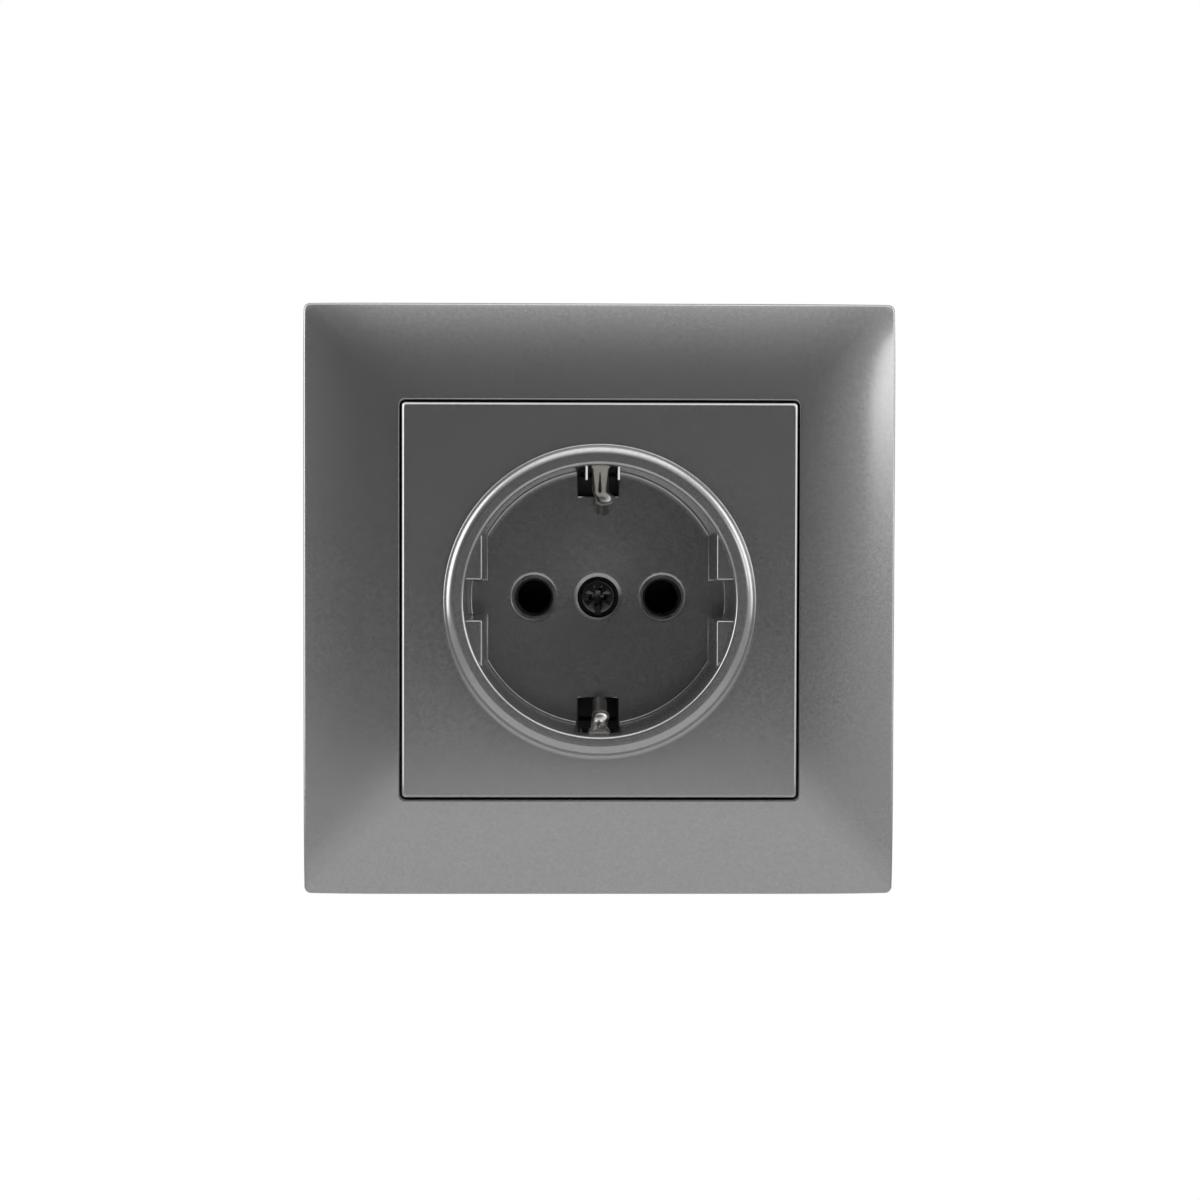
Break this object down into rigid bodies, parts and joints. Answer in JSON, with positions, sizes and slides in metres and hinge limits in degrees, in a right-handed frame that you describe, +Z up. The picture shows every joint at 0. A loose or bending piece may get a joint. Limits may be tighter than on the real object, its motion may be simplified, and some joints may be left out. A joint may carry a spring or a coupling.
{
  "type": "wall_socket",
  "caption": "Type F flush wall socket in satin metallic grey: softly crowned square frame, square centre plate, round plug recess with side earth contacts, base behind.",
  "frame": {"origin": "on the wall's face, on the socket's axis", "axes": "+Y into the wall, +Z up, +X to the right as seen from the room; the front faces -Y"},
  "size_m": [0.085, 0.0412, 0.085],
  "materials": {
    "grey_lacquer": "satin metallic grey lacquer on moulded plastic",
    "black_moulding": "black moulded plastic",
    "cover_moulding": "black insulating moulding",
    "zinc_steel": "zinc plated steel",
    "nickel_bronze": "nickel plated spring bronze",
    "contact_brass": "bare brass",
    "spring_steel": "bright spring steel"
  },
  "bodies": {
    "root": {"cover_frame": "grey_lacquer", "centre_plate": "grey_lacquer", "socket_base": "black_moulding", "contact_cover": "cover_moulding", "support_plate": "zinc_steel", "left_rivet": "zinc_steel", "right_rivet": "zinc_steel", "centre_screw": "zinc_steel", "right_upper_clamp": "zinc_steel", "right_upper_screw": "zinc_steel", "right_lower_clamp": "zinc_steel", "right_lower_screw": "zinc_steel", "left_upper_clamp": "zinc_steel", "left_upper_screw": "zinc_steel", "left_lower_clamp": "zinc_steel", "left_lower_screw": "zinc_steel", "earth_upper_clamp": "zinc_steel", "earth_upper_screw": "zinc_steel", "earth_lower_clamp": "zinc_steel", "earth_lower_screw": "zinc_steel", "earth_bracket": "nickel_bronze", "left_contact": "contact_brass", "right_contact": "contact_brass", "left_contact_spring": "spring_steel", "right_contact_spring": "spring_steel"}
  },
  "joints": []
}
